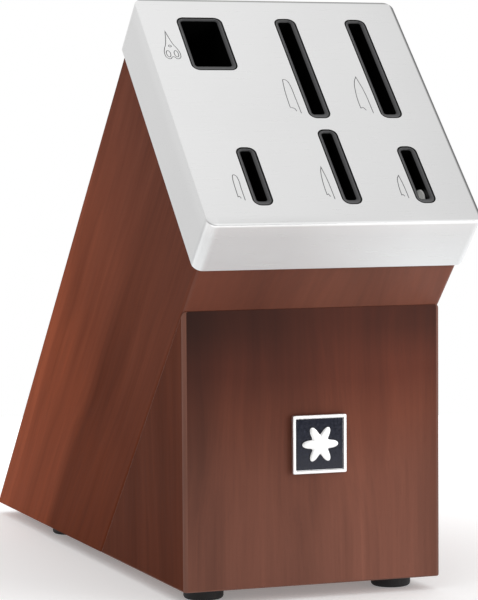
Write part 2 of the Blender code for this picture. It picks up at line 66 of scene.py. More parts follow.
ARC_STEPS = 8

# The sheet cover
SHEET = 0.001
COVER_CORNER = 0.004
COVER_EDGE = 0.0007
INNER_EDGE = 0.0001
PUNCHED_EDGE = 0.00018
MOUTH_RADIUS = 0.003

# The sleeves in the slots
FLANGE = 0.0014
FLANGE_SIDE = 0.002
FLANGE_END = 0.0014
LINER_WALL = 0.0012
LINER_RECESS = 0.0002
TUBE_HALF_WIDTH = 0.0048
RIM = 0.0006
RIM_DEPTH = 0.0006
SIDE_RIM = 0.0017
LOWER_RIM = 0.0026
UPPER_RIM = 0.0012
RIM_EASING = 0.0003
THROAT_EASING = 0.0001
THROAT_DEPTH = 0.0027
TUBE_RADIUS = 0.0024

# Honing units
WHEEL_RADIUS = 0.005
WHEEL_BORE = 0.0013
WHEEL_HUB = 0.002
WHEEL_OFFSET = 0.00025
WHEEL_CONE = 0.00105
WHEEL_BACK = 0.0021
WHEEL_EASING = 0.00015
AXLE_RADIUS = 0.001
AXLE_HALF_LENGTH = 0.0031
CRADLE_ABOVE = 0.0025
CRADLE_BELOW = 0.0057
TAB_HALF_WIDTH = 0.0015

# Feet and their screws
FOOT_RADIUS = 0.0081
FOOT_EDGE = 0.0015
COUNTERBORE_RADIUS = 0.0035
COUNTERBORE_DEPTH = 0.0025
HOLE_RADIUS = 0.0019
SCREW_RADIUS = 0.0016
SCREW_LENGTH = 0.012
HEAD_RADIUS = 0.0032
HEAD_UNDERSIDE = 0.0022
HEAD_TOP = 0.0006
THREAD_PITCH = 0.0008
THREAD_DEPTH = 0.0003
SCREW_RECESS = ((0.0032, 0.0008, 0.0020), (0.0008, 0.0032, 0.0020))

# Icons: the line's width and the sizes of the shears are in millimetres
MM = 0.001
ICON_LINE = 0.30
ICON_RELIEF = 0.25
ICON_GAP = 0.0033
ICON_RAISE = 0.0025
SHEARS_ICON = (16.2, 6.7)
SHEARS_ICON_DROP = 0.0245

# Badge
BADGE_CORNER = 0.0006
BADGE_BORDER = 0.0012
BADGE_FLOOR = 0.0006
BADGE_EASING = 0.0002
ROSETTE_WAVE = 0.32
ROSETTE_PETALS = 6

# Camera: the place it looks from, and its angles in degrees
CAMERA_PLACE = (-0.37789, -1.06745, 0.17948)
CAMERA_YAW = 20.167
CAMERA_PITCH = 3.376
CAMERA_ROLL = -0.365
CAMERA_LENS = 153.871

# Studio: the floor's size and glow, and the world's brightness each way
FLOOR_RADIUS = 0.6
FLOOR_GLOW, FLOOR_RIM_GLOW = 0.22, 0.50
WORLD_TURN = 0.08
WORLD_FRONT, WORLD_BACK = 0.16, 0.82
WORLD_ZENITH = 0.93


# Places read from the model

BASE_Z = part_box("foot_wedge")[0].z
JOINT_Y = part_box("foot_wedge")[1].y + CLEARANCE / cos(TILT)
TILTED = Matrix.Translation((0, JOINT_Y, BASE_Z)) @ Matrix.Rotation(TILT, 4, "X")
SLOT_NAMES = [name.removeprefix("liner_") for name in frame["nodes"] if name.startswith("liner_")]


def tilted_box(node, top_only=False):
    """A node's lowest and highest corners in the tilted frame, or those of its top face."""
    inverse = TILTED.inverted()
    points = [inverse @ vertex.co for vertex in frame["nodes"][node].data.vertices]
    if top_only:
        top = max(point.z for point in points)
        points = [point for point in points if top - point.z < CLEARANCE / 10]
    axes = list(zip(*points))
    return Vector([min(axis) for axis in axes]), Vector([max(axis) for axis in axes])


BODY_HIGH = tilted_box("back_panel")[1]
HALF_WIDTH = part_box("foot_wedge")[1].x
BODY_DEPTH = BODY_HIGH.y
WOOD_TOP = BODY_HIGH.z
COVER_LOW, COVER_HIGH = tilted_box("steel_cover")
COVER_TOP = COVER_HIGH.z


# Mesh tools

def smooth_mesh(work, name, angle=34):
    """Turn a bmesh into a mesh that is smooth up to an angle."""
    mesh = bpy.data.meshes.new(name)
    bmesh.ops.remove_doubles(work, verts=work.verts, dist=2e-7)
    bmesh.ops.recalc_face_normals(work, faces=work.faces)
    work.to_mesh(mesh)
    work.free()
    mesh.shade_smooth()
    mesh.set_sharp_from_angle(angle=radians(angle))
    return mesh


def loft(name, loops, closed=False, capped=True):
    """Faces between loops of points; closed joins the last loop to the first."""
    work = bmesh.new()
    rings = [[work.verts.new(point) for point in loop] for loop in loops]
    pairs = list(zip(rings, rings[1:]))
    if closed:
        pairs.append((rings[-1], rings[0]))
    for lower, upper in pairs:
        for step in range(len(lower)):
            after = (step + 1) % len(lower)
            work.faces.new((lower[step], lower[after], upper[after], upper[step]))
    if capped and not closed:
        work.faces.new(rings[0])
        work.faces.new(rings[-1])
    return smooth_mesh(work, name)


def arc(middle, radius, start, end, steps=ARC_STEPS):
    """Points of a circular arc; angles are in degrees."""
    angles = [radians(start + (end - start) * step / steps) for step in range(steps + 1)]
    return [(middle[0] + radius * cos(angle), middle[1] + radius * sin(angle)) for angle in angles]


def rounded_rectangle(half_x, half_y, radius, steps=ARC_STEPS):
    points = []
    for quarter, (side_x, side_y) in enumerate(((1, 1), (-1, 1), (-1, -1), (1, -1))):
        middle = (side_x * (half_x - radius), side_y * (half_y - radius))
        points += arc(middle, radius, 90 * quarter, 90 * quarter + 90, steps)
    return points


def stacked_rectangles(name, sections, middle=(0, 0), **how):
    """A loft through rounded rectangles of (half x, half y, corner radius, height)."""
    loops = []
    for half_x, half_y, radius, height in sections:
        outline = rounded_rectangle(half_x, half_y, radius)
        loops.append([(middle[0] + x, middle[1] + y, height) for x, y in outline])
    return loft(name, loops, **how)


def turned(name, profile, segments=64, closed=True):
    """A profile of (radius, height) points, turned round local Z."""
    loops = []
    for radius, height in profile:
        angles = [2 * pi * step / segments for step in range(segments)]
        loops.append([(radius * cos(angle), radius * sin(angle), height) for angle in angles])
    return loft(name, loops, closed=closed, capped=False)


def carve(mesh, *cutters, angle=34):
    """Cut meshes out of a mesh."""
    block = bpy.data.objects.new("carved", mesh)
    bpy.context.scene.collection.objects.link(block)
    tools = []
    for cutter in cutters:
        tool = bpy.data.objects.new("cutter", cutter)
        bpy.context.scene.collection.objects.link(tool)
        tools.append(tool)
        modifier = block.modifiers.new("cut", "BOOLEAN")
        modifier.object = tool
    result = evaluated_mesh(block)
    for item in [block, *tools]:
        bpy.data.objects.remove(item, do_unlink=True)
    result.shade_smooth()
    result.set_sharp_from_angle(angle=radians(angle))
    return result


def evaluated_mesh(piece):
    return bpy.data.meshes.new_from_object(piece.evaluated_get(bpy.context.evaluated_depsgraph_get()))


def ease_edges(mesh, width, segments=2, angle=40):
    """Round a mesh's sharp edges."""
    guide = bpy.data.objects.new("eased", mesh)
    bpy.context.scene.collection.objects.link(guide)
    modifier = guide.modifiers.new("easing", "BEVEL")
    modifier.width = width
    modifier.segments = segments
    modifier.limit_method = "ANGLE"
    modifier.angle_limit = radians(angle)
    result = evaluated_mesh(guide)
    bpy.data.objects.remove(guide, do_unlink=True)
    result.shade_smooth()
    result.set_sharp_from_angle(angle=radians(angle))
    return result


def box_mesh(name, size, middle):
    work = bmesh.new()
    bmesh.ops.create_cube(work, size=1.0, matrix=Matrix.Translation(middle) @ Matrix.Diagonal((*size, 1)))
    return smooth_mesh(work, name)


def add_piece(name, mesh, material, replaced=(), body="root", matrix=None):
    """Put a mesh in the scene as a piece that rides on a body; with no material it keeps its own."""
    if matrix is not None:
        mesh.transform(matrix)
    if material:
        mesh.materials.clear()
        mesh.materials.append(material)
    piece = bpy.data.objects.new(name, mesh)
    bpy.context.scene.collection.objects.link(piece)
    weighted = piece.modifiers.new("even shading", "WEIGHTED_NORMAL")
    weighted.keep_sharp = True
    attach(piece, body)
    if replaced:
        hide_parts(*replaced)
    return piece


# Materials

def add_node(tree, kind, inputs=None, **settings):
    """Add a shader node; its inputs are numbers, colours or other nodes' outputs."""
    made = tree.nodes.new("ShaderNode" + kind)
    for setting, value in settings.items():
        setattr(made, setting, value)
    for socket, value in (inputs or {}).items():
        if isinstance(value, bpy.types.NodeSocket):
            tree.links.new(value, made.inputs[socket])
        else:
            made.inputs[socket].default_value = value
    return made


def new_material(name, roughness, metallic=0.0, **shader_inputs):
    """A material with a Principled shader; the rest of its nodes are added to its tree."""
    material = bpy.data.materials.new(name)
    material.use_nodes = True
    tree = material.node_tree
    shader = tree.nodes["Principled BSDF"]
    shader.inputs["Roughness"].default_value = roughness
    shader.inputs["Metallic"].default_value = metallic
    for socket, value in shader_inputs.items():
        shader.inputs[socket.replace("_", " ")].default_value = value
    return material, tree, shader


def place_coordinates(tree, tilted, offset=(0, 0, 0)):
    """Object coordinates, turned into the tilted frame for pieces of the slanted body."""
    source = add_node(tree, "TexCoord").outputs["Object"]
    if tilted:
        turn = {"Location": (0, JOINT_Y, BASE_Z), "Rotation": (TILT, 0, 0)}
        turned_frame = add_node(tree, "Mapping", {"Vector": source, **turn}, vector_type="TEXTURE")
        source = turned_frame.outputs["Vector"]
    return add_node(tree, "VectorMath", {0: source, 1: offset}, operation="ADD").outputs["Vector"]


def noise(tree, vector, scale, detail=2.0, roughness=0.5, distortion=0.0):
    """Noise with its own scale along each axis, in waves per metre."""
    stretched = add_node(tree, "VectorMath", {0: vector, 1: scale}, operation="MULTIPLY")
    inputs = {
        "Vector": stretched.outputs["Vector"],
        "Scale": 1.0,
        "Detail": detail,
        "Roughness": roughness,
        "Distortion": distortion,
    }
    return add_node(tree, "TexNoise", inputs).outputs["Fac"]


def remap(tree, value, from_low, from_high, to_low, to_high):
    inputs = {
        "Value": value,
        "From Min": from_low,
        "From Max": from_high,
        "To Min": to_low,
        "To Max": to_high,
    }
    return add_node(tree, "MapRange", inputs).outputs["Result"]


def ramp(tree, value, stops):
    """A colour ramp; stops are (position, colour)."""
    made = add_node(tree, "ValToRGB", {"Fac": value})
    elements = made.color_ramp.elements
    while len(elements) < len(stops):
        elements.new(0.5)
    for element, (position, color) in zip(elements, stops):
        element.position = position
        element.color = (*color, 1.0)
    return made.outputs["Color"]


def mix_colors(tree, factor, first, second, blend="MIX"):
    made = add_node(tree, "MixRGB", {"Fac": factor, "Color1": first, "Color2": second}, blend_type=blend)
    return made.outputs["Color"]


def bump(tree, shader, height, distance, strength=1.0):
    inputs = {"Height": height, "Distance": distance, "Strength": strength}
    made = add_node(tree, "Bump", inputs)
    tree.links.new(made.outputs["Normal"], shader.inputs["Normal"])


def shade_range(tree, value, spread, low=0.3, high=0.7):
    """Grey from 1 - spread to 1 + spread, to multiply a colour by."""
    return ramp(tree, value, ((low, (1 - spread,) * 3), (high, (1 + spread,) * 3)))


def broad_tone(tree, place, sway, axis, stops, fade=None):
    """Broad tone across a board, for the wood's own colour changes and for painted light, shade and sheen:
    stops are (distance along the axis, factor or three factors).

    A fade is another axis, where along it the tone is full, and where it is gone.
    """
    along = add_node(tree, "SeparateXYZ", {0: place}).outputs[axis]
    along = add_node(tree, "Math", {0: along, 1: sway}, operation="ADD").outputs["Value"]
    first, last = stops[0][0], stops[-1][0]
    along = remap(tree, along, first, last, 0.0, 1.0)
    shades = [(at, factor if isinstance(factor, tuple) else (factor,) * 3) for at, factor in stops]
    tone = ramp(tree, along, [((at - first) / (last - first), shade) for at, shade in shades])
    if fade:
        across = add_node(tree, "SeparateXYZ", {0: place}).outputs[fade[0]]
        tone = mix_colors(tree, remap(tree, across, fade[1], fade[2], 1.0, 0.0), (1, 1, 1, 1), tone)
    return tone


def wood_material(name, tilted, offset, tone, gloss, broad, figure=0.0):
    """Reddish-brown stained wood with its grain along local Z, under a thin satin lacquer."""
    material, tree, shader = new_material(name, 0.5)
    fixed = place_coordinates(tree, tilted)
    place = place_coordinates(tree, tilted, offset)
    sway = remap(tree, noise(tree, place, (22, 22, 7), 2.0), 0.3, 0.7, -0.004, 0.004)
    swayed = add_node(tree, "VectorMath", {0: place, 1: sway}, operation="ADD").outputs["Vector"]
    bands = noise(tree, swayed, (75, 75, 4), 3.0, 0.55)
    streaks = noise(tree, swayed, (330, 330, 9), 3.0, 0.6)
    lines = noise(tree, swayed, (900, 900, 20), 2.0, 0.6)
    pores = noise(tree, swayed, (2600, 2600, 190), 1.0, 0.5)
    color = mix_colors(tree, remap(tree, bands, 0.3, 0.7, 0.0, 1.0), (*WOOD_DARK, 1.0), (*WOOD_LIGHT, 1.0))
    for layer, spread in ((streaks, 0.07), (lines, 0.05)):
        color = mix_colors(tree, 1.0, color, shade_range(tree, layer, spread), "MULTIPLY")
    # Broad tones: the wood's own colour changes together with painted light, shade and sheen
    for tones in broad:
        color = mix_colors(tree, 1.0, color, broad_tone(tree, fixed, sway, *tones), "MULTIPLY")
    color = mix_colors(tree, 1.0, color, (tone, tone, tone, 1.0), "MULTIPLY")
    color = mix_colors(tree, remap(tree, pores, 0.62, 0.72, 0.0, 0.10), color, (*WOOD_PORE, 1.0))
    if figure:
        diagonal = add_node(tree, "Mapping", {"Vector": swayed, "Rotation": (0, radians(-35), 0)})
        rays = noise(tree, diagonal.outputs["Vector"], (420, 60, 30), 2.0, 0.6)
        color = mix_colors(tree, remap(tree, rays, 0.45, 0.75, 0.0, figure), color, (*WOOD_LIGHT, 1.0))
    tree.links.new(color, shader.inputs["Base Color"])
    tree.links.new(remap(tree, lines, 0.3, 0.7, 0.42, 0.54), shader.inputs["Roughness"])
    shader.inputs["Specular IOR Level"].default_value = gloss
    bump(tree, shader, lines, 0.00003, 0.4)
    return material


def steel_material(name, tilted, color, roughness, brush=(60, 2600, 2600), broad=()):
    """Satin stainless steel, brushed along local X unless told otherwise."""
    material, tree, shader = new_material(name, roughness, 1.0)
    place = place_coordinates(tree, tilted)
    strokes = noise(tree, place, brush, 3.0, 0.6)
    clouds = noise(tree, place, (28, 28, 28), 2.0)
    shade = ramp(tree, strokes, ((0.3, tuple(0.985 * part for part in color)), (0.7, color)))
    shade = mix_colors(tree, 1.0, shade, shade_range(tree, clouds, 0.008), "MULTIPLY")
    # Broad tones on the steel are painted light and shade
    for tones in broad:
        shade = mix_colors(tree, 1.0, shade, broad_tone(tree, place, 0.0, *tones), "MULTIPLY")
    tree.links.new(shade, shader.inputs["Base Color"])
    rough = remap(tree, strokes, 0.3, 0.7, roughness - 0.03, roughness + 0.05)
    tree.links.new(rough, shader.inputs["Roughness"])
    bump(tree, shader, strokes, 0.00001, 0.25)
    return material


def sleeve_material(name, color, rim_highlight_color, specular):
    """Black moulded plastic, painted paler towards the top of its rim as a painted highlight."""
    material, tree, shader = new_material(name, 0.4)
    place = place_coordinates(tree, True)
    grain = noise(tree, place, (2600, 2600, 2600), 3.0, 0.6)
    height = add_node(tree, "SeparateXYZ", {0: place}).outputs["Z"]
    # Painted highlight: the colour grows paler towards the top of the rim
    rim_light = remap(tree, height, COVER_TOP - LINER_RECESS - RIM_DEPTH, COVER_TOP - LINER_RECESS, 0.0, 1.0)
    shade = ramp(tree, rim_light, ((0.0, color), (1.0, rim_highlight_color)))
    shade = mix_colors(tree, 1.0, shade, shade_range(tree, grain, 0.12), "MULTIPLY")
    tree.links.new(shade, shader.inputs["Base Color"])
    tree.links.new(remap(tree, grain, 0.3, 0.7, 0.30, 0.42), shader.inputs["Roughness"])
    shader.inputs["Specular IOR Level"].default_value = specular
    bump(tree, shader, grain, 0.00003, 0.6)
    return material


def grained_material(name, color, roughness, scale, depth, spread=0.15):
    """A moulded or fired surface: fine even grain in colour, roughness and relief."""
    material, tree, shader = new_material(name, roughness)
    place = place_coordinates(tree, False)
    grain = noise(tree, place, (scale, scale, scale), 3.0, 0.6)
    low = tuple(part * (1 - spread) for part in color)
    high = tuple(part * (1 + spread) for part in color)
    tree.links.new(ramp(tree, grain, ((0.3, low), (0.7, high))), shader.inputs["Base Color"])
    rough = remap(tree, grain, 0.3, 0.7, roughness - 0.06, roughness + 0.06)
    tree.links.new(rough, shader.inputs["Roughness"])
    bump(tree, shader, grain, depth, 0.6)
    return material


WOOD_DARK = (0.128, 0.0365, 0.0198)
WOOD_LIGHT = (0.176, 0.0515, 0.0280)
WOOD_PORE = (0.045, 0.016, 0.010)
STEEL_COLOR = (0.80, 0.80, 0.80)
# Rim colours of the sleeves: paler than the plastic itself, a painted highlight
SLEEVE_RIM_HIGHLIGHT = (0.095, 0.095, 0.098)
SLEEVE_SLOPE_HIGHLIGHT = (0.050, 0.050, 0.052)

# Broad tones of the boards and the plate, part the wood's own colour and mostly painted light, shade and
# sheen: an axis, then distances along it with the factor there, then if need be another axis, with where
# along it the tone is full and where it is gone
# Side boards: a step to a lighter board towards the back is the wood's own tone; the rest of the darkening
# towards the front is painted shade, and the colour shift along Z is a painted sheen
SIDE_TONES_AND_PAINTED_LIGHT = [
    ("Y", ((0.0, 0.62), (0.054, 0.64), (0.066, 1.10), (0.095, 1.10), (0.123, 1.42)), ("Z", 0.02, 0.22)),
    ("Z", (
        (-0.10, (1.42, 1.26, 1.10)),
        (0.02, (1.40, 1.24, 1.08)),
        (0.06, (1.20, 1.12, 1.06)),
        (0.10, (1.24, 1.25, 1.28)),
        (0.17, (1.04, 1.18, 1.38)),
        (0.21, (0.96, 1.10, 1.34)),
    )),
]
SKIRT_SHADOW = ("Z", ((0.1790, 1.0), (0.1812, 0.70)))
# Slanted front: a painted shadow under the skirt, and painted light and sheen that make it lighter and bluer
# towards the right
FRONT_PAINTED_LIGHT = [SKIRT_SHADOW, ("X", (
    (-0.055, (0.96, 0.90, 0.85)),
    (-0.02, (0.84, 0.86, 0.88)),
    (0.016, (1.06, 1.20, 1.30)),
    (0.034, (1.12, 1.26, 1.38)),
    (0.055, (1.08, 1.14, 1.20)),
))]
# Wedge front: painted shade darkens its top under the overhang and its left side, painted light brightens its
# right, and a painted bluish sheen at the bottom stands for the reflected floor
WEDGE_PAINTED_LIGHT = [
    ("X", ((-0.05, 0.70), (-0.02, 0.80), (0.0, 0.95), (0.02, 0.90), (0.04, 0.72)), ("Z", 0.108, 0.095)),
    ("X", ((-0.053, 0.74), (-0.047, 0.82), (-0.042, 1.0)), ("Z", 0.055, 0.012)),
    ("X", ((-0.055, 0.78), (-0.02, 0.93), (0.0, 0.92), (0.018, 1.14), (0.040, 1.18), (0.055, 0.88))),
    ("X", ((-0.055, 0.90), (0.0, 1.0), (0.02, 1.10), (0.055, 1.36)), ("Z", 0.10, 0.05)),
    ("Z", (
        (0.0, (1.26, 1.66, 2.02)),
        (0.050, (1.12, 1.30, 1.46)),
        (0.075, (0.90, 0.86, 0.84)),
        (0.090, (0.64, 0.53, 0.49)),
        (0.115, (0.48, 0.39, 0.36)),
    )),
]
WEDGE_SIDE_TONES = [("Z", ((0.0, 0.98), (0.06, 0.98), (0.11, 1.10)))]
# The wedge's rounded corners and eased edges: a painted highlight, lighter and bluer than the faces beside
# them
EDGE_HIGHLIGHT_TONES = [("Z", ((0.0, (1.0, 1.3, 1.5)), (0.05, (0.87, 1.13, 1.3)), (0.11, (1.07, 1.4, 1.65))))]
# Cover cap: painted light and shade: lighter towards the left and back, lighter and darker bands on the
# skirts, a painted highlight along the front top edge, and painted dark lines along the right and back top
# edges
PLATE_PAINTED_LIGHT = [
    ("X", ((-0.057, 1.08), (0.0, 1.01), (0.030, 0.985), (0.057, 0.925))),
    ("Y", ((0.0, 0.965), (0.060, 1.0), (0.125, 1.03))),
    ("Z", ((0.182, (1.07, 1.10, 1.11)), (0.200, (0.97, 0.98, 0.985)), (0.2068, 1.0)), ("Y", -0.001, 0.004)),
    ("Z", ((0.182, 0.95), (0.199, 0.95), (0.2045, 1.0)), ("X", -0.056, -0.051)),
    ("X", ((-0.0572, 0.90), (-0.0555, 1.0), (-0.0530, 1.05), (-0.0520, 1.0)), ("Y", 0.0, 0.003)),
    ("Z", ((0.2059, 1.0), (0.2063, 1.25)), ("Y", -0.0012, -0.0007)),
    ("X", ((-0.05, 0.93), (-0.02, 0.92), (0.0, 0.98), (0.03, 1.02), (0.05, 1.02)), ("Y", -0.001, 0.003)),
    ("X", ((0.0554, 1.0), (0.0562, 0.22)), ("Z", 0.2064, 0.2056)),
    ("Y", ((0.1237, 1.0), (0.1245, 0.40)), ("Z", 0.2064, 0.2056)),
]

SIDE_WOOD = wood_material("wood_side", True, (0.31, 0.12, 0.05), 1.0, 0.003, SIDE_TONES_AND_PAINTED_LIGHT)
FRONT_WOOD = wood_material("wood_front", True, (0.07, 0.42, 0.31), 0.98, 0.25, FRONT_PAINTED_LIGHT, 0.2)
BACK_WOOD = wood_material("wood_back", True, (0.53, 0.21, 0.17), 1.2, 0.05, FRONT_PAINTED_LIGHT)
WEDGE_WOOD = wood_material("wood_wedge", False, (0.19, 0.33, 0.44), 1.0, 0.16, WEDGE_PAINTED_LIGHT)
# The wedge sides are darkened overall (tone 0.72) as painted shade; their tones make them lighter towards the
# top
WEDGE_SIDE_SHADED_WOOD = wood_material("wood_wedge_side_shaded", False, (0.61, 0.33, 0.44), 0.72, 0.004, WEDGE_SIDE_TONES)
EDGE_HIGHLIGHT_WOOD = wood_material("wood_edge_painted_highlight", False, (0.27, 0.53, 0.14), 1.1, 0.35, EDGE_HIGHLIGHT_TONES)
INNER_WOOD = wood_material("wood_inner", True, (0.83, 0.61, 0.27), 0.9, 0.05, FRONT_PAINTED_LIGHT)
STEEL = steel_material("cover_steel", True, STEEL_COLOR, 0.30, broad=PLATE_PAINTED_LIGHT)
BADGE_STEEL = steel_material("badge_steel", False, (0.93, 0.93, 0.925), 0.42)
SCREW_STEEL = steel_material("screw_steel", False, (0.62, 0.62, 0.60), 0.34, (900, 900, 900))
# Two copies of the sleeve plastic: a near-black one inside, painted shade deep in the slots, and a paler one
# on the rims, a painted highlight
SLEEVE_SHADED_PLASTIC = sleeve_material("sleeve_plastic", (0.002,) * 3, (0.004,) * 3, 0.1)
SLEEVE_LIT_RIM_PLASTIC = sleeve_material("sleeve_rim_painted_highlight", SLEEVE_SLOPE_HIGHLIGHT, SLEEVE_RIM_HIGHLIGHT, 0.25)
PLASTIC = grained_material("moulded_plastic", (0.014, 0.014, 0.015), 0.42, 2600, 0.00003)
ETCHING = grained_material("etched_line", (0.060, 0.060, 0.064), 0.6, 3000, 0.00002)
RUBBER = grained_material("foot_rubber", (0.020, 0.020, 0.021), 0.72, 1700, 0.00004)
CERAMIC = grained_material("wheel_ceramic", (0.84, 0.84, 0.82), 0.5, 5200, 0.00003, 0.04)
ENAMEL = grained_material("badge_enamel", (0.006, 0.008, 0.020), 0.16, 900, 0.00001, 0.3)
BEECH = grained_material("dowel_beech", (0.52, 0.34, 0.19), 0.6, 700, 0.00004)


# Wooden body

def mitred_outline(length, inset):
    """A board seen from its end: outer face at inset, inner face at PANEL, both ends mitred."""
    shift = SEAM / sqrt(2)
    radius = BODY_CORNER - inset
    start = 225 + degrees(asin(shift / (radius * sqrt(2))))
    half = [(PANEL + shift, PANEL)] + arc((BODY_CORNER, BODY_CORNER), radius, start, 270)
    return half + [(length - along, across) for along, across in reversed(half)]


def easing_steps(easing, steps=3):
    """The inset and the height of each step round a small convex edge."""
    for step in range(steps + 1):
        angle = pi / 2 * step / steps
        yield easing * (1 - sin(angle)), easing * (1 - cos(angle))


def board_mesh(name, outline_at):
    """A wall of the body, cut level at the base with a small rounded edge."""
    loops = []
    for inset, rise in easing_steps(BASE_EASING):
        outline = outline_at(inset)
        loops.append([(x, v, rise / cos(TILT) - v * tan(TILT)) for x, v in outline])
    loops.append([(x, v, WOOD_TOP) for x, v in outline_at(0)])
    return loft(name, loops)


def make_body():
    for side, sign in (("left", -1), ("right", 1)):
        def side_outline(inset, sign=sign):
            return [(sign * (HALF_WIDTH - deep), along) for along, deep in mitred_outline(BODY_DEPTH, inset)]

        node = side + "_side_panel"
        mesh = board_mesh(side + "_side_board", side_outline)
        add_piece(mesh.name, mesh, SIDE_WOOD, [node], matrix=TILTED)

    def front_outline(inset):
        return [(along - HALF_WIDTH, deep) for along, deep in mitred_outline(2 * HALF_WIDTH, inset)]

    def back_outline(inset):
        return [(x, BODY_DEPTH - v) for x, v in front_outline(inset)]

    front = board_mesh("front_board", front_outline)
    add_piece("front_board", front, FRONT_WOOD, ["front_panel"], matrix=TILTED)
    back = board_mesh("back_board", back_outline)
    add_piece("back_board", back, BACK_WOOD, ["back_panel"], matrix=TILTED)


def make_wedge():
    """The triangular foot: rounded front corners, sharp where it meets the slanted front."""
    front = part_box("foot_wedge")[0].y
    reach = JOINT_Y - front

    def outline(inset):
        left = arc((WEDGE_CORNER - HALF_WIDTH, front + WEDGE_CORNER), WEDGE_CORNER - inset, 180, 270)
        right = arc((HALF_WIDTH - WEDGE_CORNER, front + WEDGE_CORNER), WEDGE_CORNER - inset, 270, 360)
        half = HALF_WIDTH - inset
        return left + right + [(half, JOINT_Y + PANEL), (-half, JOINT_Y + PANEL)]

    loops = []
    for inset, rise in easing_steps(BASE_EASING):
        loops.append([(x, y, BASE_Z + rise) for x, y in outline(inset)])
    loops.append([(x, y, BASE_Z + reach + PANEL) for x, y in outline(0)])
    whole = loft("wedge_block", loops)
    work = bmesh.new()
    work.from_mesh(whole)
    up_plate = TILTED.to_3x3() @ Vector((0, 1, 0))
    cut_through = Vector((0, JOINT_Y, BASE_Z)) - SEAM * up_plate
    everything = list(work.verts) + list(work.edges) + list(work.faces)
    found = bmesh.ops.bisect_plane(
        work, geom=everything, plane_co=cut_through, plane_no=up_plate, clear_outer=True
    )
    rim = [item for item in found["geom_cut"] if isinstance(item, bmesh.types.BMEdge)]
    bmesh.ops.holes_fill(work, edges=rim)
    mesh = ease_edges(smooth_mesh(work, "wedge_block"), WEDGE_EASING, 3)
    mesh.materials.clear()
    for material in (WEDGE_WOOD, WEDGE_SIDE_SHADED_WOOD, EDGE_HIGHLIGHT_WOOD):
        mesh.materials.append(material)
    # Flat fronts take the wedge wood, flat sides the darker side wood with its painted shade, and the rounded
    # corners and eased edges the painted-highlight wood
    for face in mesh.polygons:
        flat_side = abs(face.normal.x) > FLAT_BEYOND
        flat_front = max(-face.normal.y, -face.normal.z, face.normal @ up_plate) > FLAT_BEYOND
        face.material_index = 1 if flat_side else 0 if flat_front else 2
    add_piece("wedge_block", mesh, None, ["foot_wedge"])


# Sheet cover

def cover_sections(inset, radius, top):
    """Half sizes, corner radius and height round one skin of the cap, from its rim up."""
    half_x = COVER_HIGH.x - inset
    half_v = (COVER_HIGH.y - COVER_LOW.y) / 2 - inset
    corner = COVER_CORNER - inset
    rows = [(half_x, half_v, corner, COVER_LOW.z)]
    for step in range(ARC_STEPS + 1):
        angle = pi / 2 * step / ARC_STEPS
        pull = radius * (1 - cos(angle))
        rows.append((half_x - pull, half_v - pull, corner - pull, top - radius + radius * sin(angle)))
    return rows


def make_cover():
    inner = cover_sections(SHEET, INNER_EDGE, COVER_TOP - SHEET)
    outer = cover_sections(0, COVER_EDGE, COVER_TOP)
    middle = (0, (COVER_LOW.y + COVER_HIGH.y) / 2)
    mesh = stacked_rectangles("cover_cap", inner[::-1] + outer, middle)
    punches = []
    for name in SLOT_NAMES:
        low, high = tilted_box("liner_" + name, top_only=True)
        half_x = (high.x - low.x) / 2 + CLEARANCE
        half_v = (high.y - low.y) / 2 + CLEARANCE
        radius = MOUTH_RADIUS + CLEARANCE
        sections = [(half_x, half_v, radius, COVER_TOP + rise) for rise in (-2 * SHEET, SHEET)]
        where = ((low.x + high.x) / 2, (low.y + high.y) / 2)
        punches.append(stacked_rectangles("punch", sections, where))
    mesh = ease_edges(carve(mesh, *punches), PUNCHED_EDGE)
    add_piece("cover_cap", mesh, STEEL, ["steel_cover"], matrix=TILTED)


# Icons beside the slots: outlines are in millimetres from the blade's spine end

def heel(length, width):
    """The heel of a blade and its bolster, at the lower end of the edge."""
    return [(-width, length * 0.14), (-width * 0.75, length * 0.16), (-width * 0.56, length * 0.08)]


def pointed_icon(length, width, lean):
    """A kitchen knife's blade, tip up and edge to the left: straight spine, curved edge, heel."""
    spine = [(0, 0), (lean * 0.25, length * 0.62), (lean, length)]
    edge = [(-width * 0.60, length * 0.88), (-width * 0.88, length * 0.6), (-width, length * 0.28)]
    return spine + edge + heel(length, width), (0, 2, 6, 7, 8)


def nosed_icon(length, width, tip):
    """A small knife's blade: its spine turns down to a tip part of the way across to the edge."""
    spine = [(0, 0), (0, length * 0.45), (0, length * 0.86), (-width * tip * 0.35, length * 0.97)]
    rest = 1 - tip
    edge = [
        (-width * tip, length),
        (-width * (tip + rest * 0.6), length * 0.88),
        (-width * (tip + rest * 0.87), length * 0.65),
        (-width, length * 0.3),
    ]
    return spine + edge + heel(length, width), (0, 8, 9, 10)


def santoku_icon(length, width):
    """A santoku's blade: its spine turns down in a round nose to a tip on the edge's side."""
    spine = [(0, 0), (-width * 0.04, length * 0.47), (-width * 0.11, length * 0.86)]
    nose = [(-width * 0.22, length * 0.95), (-width * 0.47, length), (-width * 0.71, length)]
    edge = [(-width * 0.81, length * 0.85), (-width * 0.93, length * 0.6), (-width, length * 0.18)]
    return spine + nose + edge + [(-width * 0.53, length * 0.13), (-width * 0.44, length * 0.06)], (0, 5, 8)


